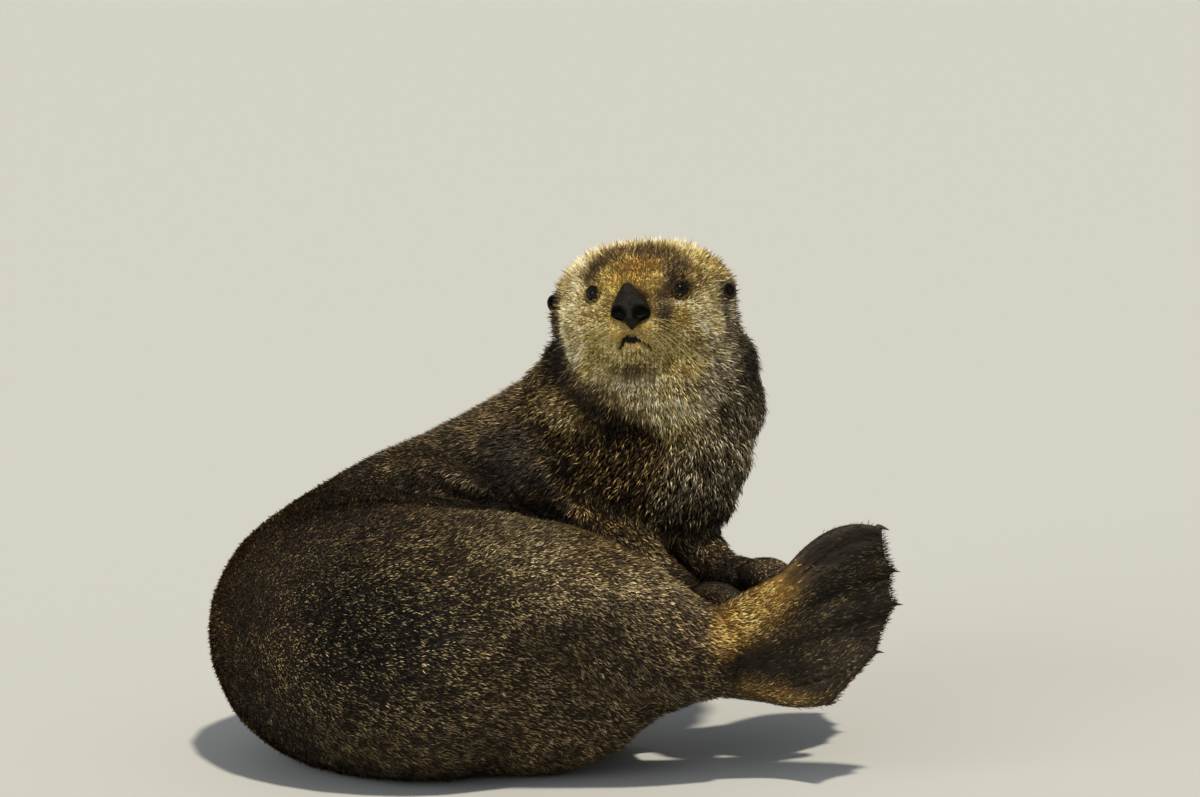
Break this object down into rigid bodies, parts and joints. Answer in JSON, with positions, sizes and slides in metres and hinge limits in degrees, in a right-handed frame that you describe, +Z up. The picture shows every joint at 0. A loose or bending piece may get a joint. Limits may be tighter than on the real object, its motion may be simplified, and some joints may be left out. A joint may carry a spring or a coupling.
{
  "type": "sea otter model",
  "caption": "Life-size still model of a sea otter curled at rest on its hip, pale head turned to look out over its raised webbed hind foot.",
  "frame": {"origin": "on the floor, under the centre of the model's bounding box", "axes": "+Z up; +X towards the head's and the hind feet's end; the face looks towards -Y"},
  "size_m": [0.6648, 0.4416, 0.4947],
  "materials": {
    "short_fur": "dense dark brown coat with light tips",
    "pale_fur": "short straw-coloured coat",
    "bare_skin": "dark, slightly moist skin",
    "eye": "wet gloss",
    "claw": "satin horn"
  },
  "bodies": {
    "root": {"hips": "short_fur", "torso": "short_fur", "neck": "short_fur", "right_hind_leg": "short_fur", "left_hind_leg": "short_fur", "tail": "short_fur", "right_foreleg": "short_fur", "left_foreleg": "short_fur", "right_forepaw": "short_fur", "left_forepaw": "short_fur", "head": "pale_fur", "right_hind_foot": "bare_skin", "left_hind_foot": "bare_skin", "nose": "bare_skin", "right_ear": "bare_skin", "left_ear": "bare_skin", "right_eye": "eye", "left_eye": "eye", "right_hind_claw_1": "claw", "right_hind_claw_2": "claw", "right_hind_claw_3": "claw", "right_hind_claw_4": "claw", "right_hind_claw_5": "claw", "right_fore_claw_1": "claw", "right_fore_claw_2": "claw", "right_fore_claw_3": "claw", "right_fore_claw_4": "claw", "right_fore_claw_5": "claw", "left_hind_claw_1": "claw", "left_hind_claw_2": "claw", "left_hind_claw_3": "claw", "left_hind_claw_4": "claw", "left_hind_claw_5": "claw", "left_fore_claw_1": "claw", "left_fore_claw_2": "claw", "left_fore_claw_3": "claw", "left_fore_claw_4": "claw", "left_fore_claw_5": "claw"}
  },
  "joints": []
}
